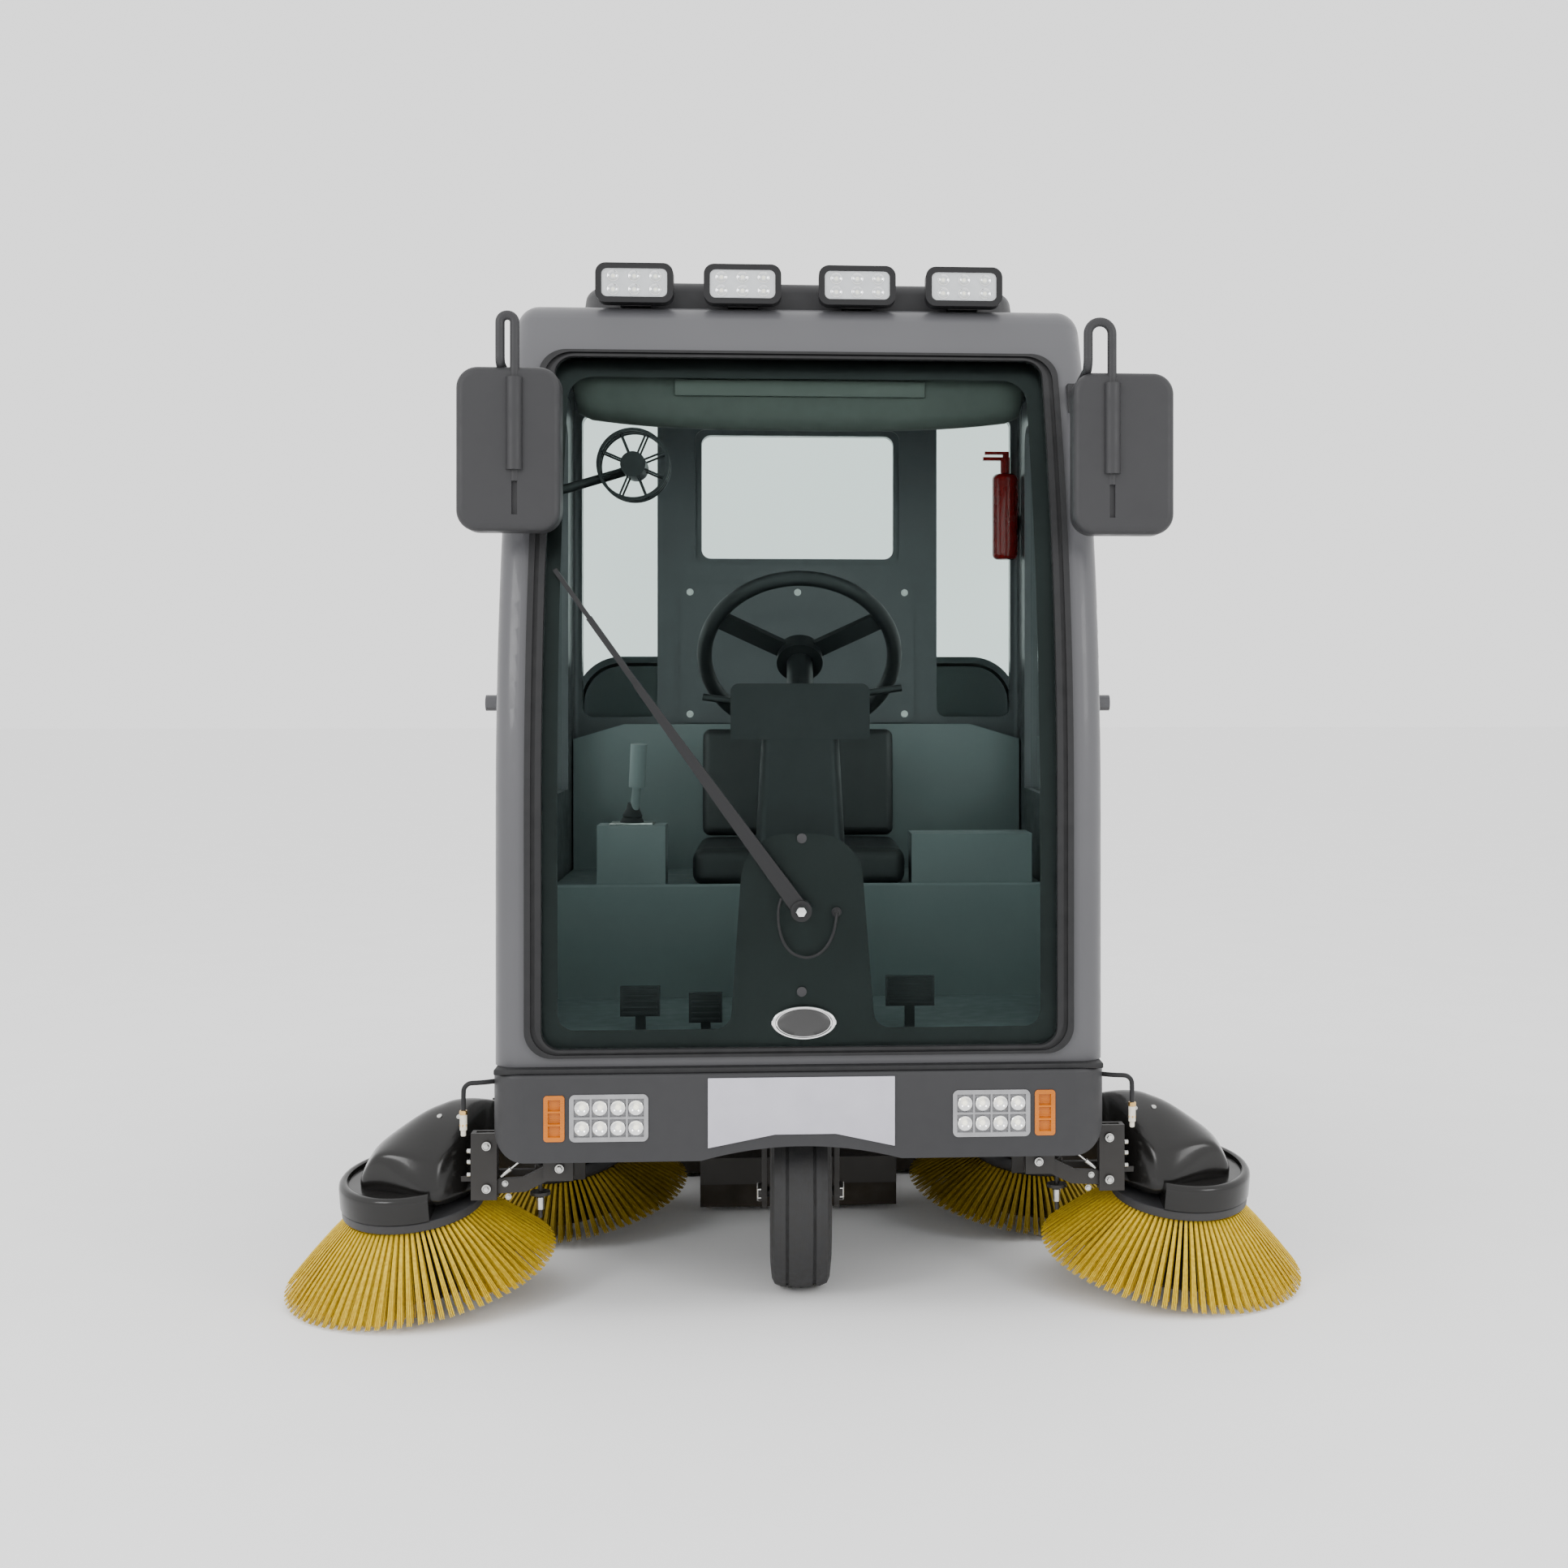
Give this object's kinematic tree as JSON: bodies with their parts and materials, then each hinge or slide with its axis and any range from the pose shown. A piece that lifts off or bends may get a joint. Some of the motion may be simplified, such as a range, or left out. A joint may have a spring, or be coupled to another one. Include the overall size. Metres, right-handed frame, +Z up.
{
  "type": "compact road sweeper",
  "caption": "Compact three-wheeled electric road sweeper with an enclosed glass-fronted cab, lifting side brushes, a main roller brush and a rear hopper body.",
  "frame": {"origin": "on the ground under the middle of the overall box", "axes": "+Z up, the nose points along -Y, +X is to the right of someone looking at the nose from the front"},
  "size_m": [1.9098, 2.3471, 1.9479],
  "materials": {
    "cab_paint": "satin dark grey paint",
    "bumper_plastic": "fine-grained dark grey moulding",
    "frame_steel": "black powder coat",
    "cover_gloss": "gloss black moulded cover",
    "bristle": "yellow bristles in a black ring",
    "tyre": "black tyre",
    "rim": "silver painted rim",
    "screen_glass": "clear safety glass with a green tint",
    "seal_rubber": "black rubber",
    "trim_black": "matt black plastic",
    "mirror": "silvered glass",
    "seat_vinyl": "black vinyl",
    "lamp_lens": "clear lens",
    "amber_lens": "amber lens",
    "red_lens": "red lens",
    "red_paint": "red enamel"
  },
  "bodies": {
    "chassis": {"frame_rails": "frame_steel", "chassis_frame": "frame_steel", "rear_axle": "frame_steel", "battery_pack": "trim_black", "front_bumper": "bumper_plastic", "headlamps": "lamp_lens", "indicator_lamps": "amber_lens", "cab_front_frame": "cab_paint", "cab_roof": "cab_paint", "cab_rear_wall": "cab_paint", "cab_floor": "frame_steel", "seat_box": "frame_steel", "windscreen": "screen_glass", "windscreen_seal": "seal_rubber", "rear_glass": "screen_glass", "roof_lamps": "trim_black", "roof_pod": "bumper_plastic", "mirrors": "trim_black", "mirror_glass": "mirror", "driver_controls": "trim_black", "driver_seat": "seat_vinyl", "consoles": "trim_black", "cab_fan": "trim_black", "extinguisher": "red_paint", "spray_pipes": "trim_black", "rear_body": "cab_paint", "hopper": "trim_black", "rear_lamps": "red_lens", "roller_housing": "frame_steel", "rubber_skirts": "seal_rubber"},
    "fork": {"front_fork": "frame_steel"},
    "front_wheel": {"front_tyre": "tyre", "front_rim": "rim"},
    "steering_wheel": {"steering_wheel": "trim_black"},
    "main_roller": {"main_roller": "bristle"},
    "rear_hood": {"rear_hood": "cab_paint"},
    "rear_door": {"rear_door": "cab_paint"},
    "wiper": {"wiper": "trim_black"},
    "rear_wheel_left": {"rear_tyre_left": "tyre", "rear_rim_left": "rim"},
    "door_left": {"door_left": "cab_paint", "door_glass_left": "screen_glass"},
    "front_lower_arm_left": {"front_lower_arm_left": "frame_steel"},
    "front_upper_arm_left": {"front_upper_arm_left": "frame_steel"},
    "front_head_left": {"front_head_left": "frame_steel", "front_cover_left": "cover_gloss"},
    "front_brush_left": {"front_brush_left": "bristle"},
    "rear_brush_arm_left": {"rear_brush_arm_left": "cover_gloss"},
    "rear_brush_left": {"rear_brush_left": "bristle"},
    "rear_wheel_right": {"rear_tyre_right": "tyre", "rear_rim_right": "rim"},
    "door_right": {"door_right": "cab_paint", "door_glass_right": "screen_glass"},
    "front_lower_arm_right": {"front_lower_arm_right": "frame_steel"},
    "front_upper_arm_right": {"front_upper_arm_right": "frame_steel"},
    "front_head_right": {"front_head_right": "frame_steel", "front_cover_right": "cover_gloss"},
    "front_brush_right": {"front_brush_right": "bristle"},
    "rear_brush_arm_right": {"rear_brush_arm_right": "cover_gloss"},
    "rear_brush_right": {"rear_brush_right": "bristle"}
  },
  "joints": [
    {"name": "steer", "type": "hinge", "parent": "chassis", "child": "fork", "pos_m": [0, -0.925, 0.4], "axis": [0, 0, 1], "range_deg": [-50, 50]},
    {"name": "front_wheel_spin", "type": "hinge", "parent": "fork", "child": "front_wheel", "pos_m": [0, -0.905, 0.175], "axis": [1, 0, 0], "continuous": true},
    {"name": "steering_wheel_turn", "type": "hinge", "parent": "chassis", "child": "steering_wheel", "pos_m": [0, -0.7, 1.195], "axis": [0, 0.788, 0.6157], "range_deg": [-250, 250]},
    {"name": "roller_spin", "type": "hinge", "parent": "chassis", "child": "main_roller", "pos_m": [0, 0.098, 0.153], "axis": [1, 0, 0], "continuous": true},
    {"name": "rear_hood_lift", "type": "hinge", "parent": "chassis", "child": "rear_hood", "pos_m": [0, 0.022, 1.216], "axis": [1, 0, 0], "range_deg": [0, 55]},
    {"name": "rear_door_swing", "type": "hinge", "parent": "chassis", "child": "rear_door", "pos_m": [-0.431, 1.15, 0.69], "axis": [0, 0, 1], "range_deg": [0, 110]},
    {"name": "wiper_sweep", "type": "hinge", "parent": "chassis", "child": "wiper", "pos_m": [0, -1.09, 0.729], "axis": [0, 1, 0], "range_deg": [0, 72]},
    {"name": "rear_wheel_spin_left", "type": "hinge", "parent": "chassis", "child": "rear_wheel_left", "pos_m": [-0.44, 0.52, 0.205], "axis": [1, 0, 0], "continuous": true},
    {"name": "door_swing_left", "type": "hinge", "parent": "chassis", "child": "door_left", "pos_m": [-0.567, -0.104, 1.1], "axis": [0, 0, -1], "range_deg": [0, 80]},
    {"name": "front_brush_lift_left", "type": "hinge", "parent": "chassis", "child": "front_lower_arm_left", "pos_m": [-0.441, -1, 0.252], "axis": [0, 1, 0], "range_deg": [0, 40]},
    {"name": "front_upper_arm_turn_left", "type": "hinge", "parent": "chassis", "child": "front_upper_arm_left", "pos_m": [-0.441, -1, 0.33], "axis": [0, 1, 0], "range_deg": [0, 40]},
    {"name": "front_head_turn_left", "type": "hinge", "parent": "front_lower_arm_left", "child": "front_head_left", "pos_m": [-0.573, -1, 0.217], "axis": [0, 1, 0], "range_deg": [-40, 0]},
    {"name": "front_brush_spin_left", "type": "hinge", "parent": "front_head_left", "child": "front_brush_left", "pos_m": [-0.706, -0.925, 0.05179], "axis": [-0.1167, -0.1564, 0.9808], "continuous": true},
    {"name": "rear_brush_lift_left", "type": "hinge", "parent": "chassis", "child": "rear_brush_arm_left", "pos_m": [-0.486, -0.72, 0.25], "axis": [1, 0, 0], "range_deg": [0, 12]},
    {"name": "rear_brush_spin_left", "type": "hinge", "parent": "rear_brush_arm_left", "child": "rear_brush_left", "pos_m": [-0.486, -0.405, 0.05179], "axis": [-0.1167, -0.1564, 0.9808], "continuous": true},
    {"name": "rear_wheel_spin_right", "type": "hinge", "parent": "chassis", "child": "rear_wheel_right", "pos_m": [0.44, 0.52, 0.205], "axis": [1, 0, 0], "continuous": true},
    {"name": "door_swing_right", "type": "hinge", "parent": "chassis", "child": "door_right", "pos_m": [0.567, -0.104, 1.1], "axis": [0, 0, 1], "range_deg": [0, 80]},
    {"name": "front_brush_lift_right", "type": "hinge", "parent": "chassis", "child": "front_lower_arm_right", "pos_m": [0.441, -1, 0.252], "axis": [0, -1, 0], "range_deg": [0, 40]},
    {"name": "front_upper_arm_turn_right", "type": "hinge", "parent": "chassis", "child": "front_upper_arm_right", "pos_m": [0.441, -1, 0.33], "axis": [0, -1, 0], "range_deg": [0, 40]},
    {"name": "front_head_turn_right", "type": "hinge", "parent": "front_lower_arm_right", "child": "front_head_right", "pos_m": [0.573, -1, 0.217], "axis": [0, -1, 0], "range_deg": [-40, 0]},
    {"name": "front_brush_spin_right", "type": "hinge", "parent": "front_head_right", "child": "front_brush_right", "pos_m": [0.706, -0.925, 0.05179], "axis": [0.1167, -0.1564, 0.9808], "continuous": true},
    {"name": "rear_brush_lift_right", "type": "hinge", "parent": "chassis", "child": "rear_brush_arm_right", "pos_m": [0.486, -0.72, 0.25], "axis": [1, 0, 0], "range_deg": [0, 12]},
    {"name": "rear_brush_spin_right", "type": "hinge", "parent": "rear_brush_arm_right", "child": "rear_brush_right", "pos_m": [0.486, -0.405, 0.05179], "axis": [0.1167, -0.1564, 0.9808], "continuous": true}
  ],
  "couplings": [
    {"joint": "steering_wheel_turn", "follows": "steer", "ratio": 5},
    {"joint": "front_upper_arm_turn_left", "follows": "front_brush_lift_left", "ratio": 1},
    {"joint": "front_head_turn_left", "follows": "front_brush_lift_left", "ratio": -1},
    {"joint": "front_upper_arm_turn_right", "follows": "front_brush_lift_right", "ratio": 1},
    {"joint": "front_head_turn_right", "follows": "front_brush_lift_right", "ratio": -1}
  ]
}
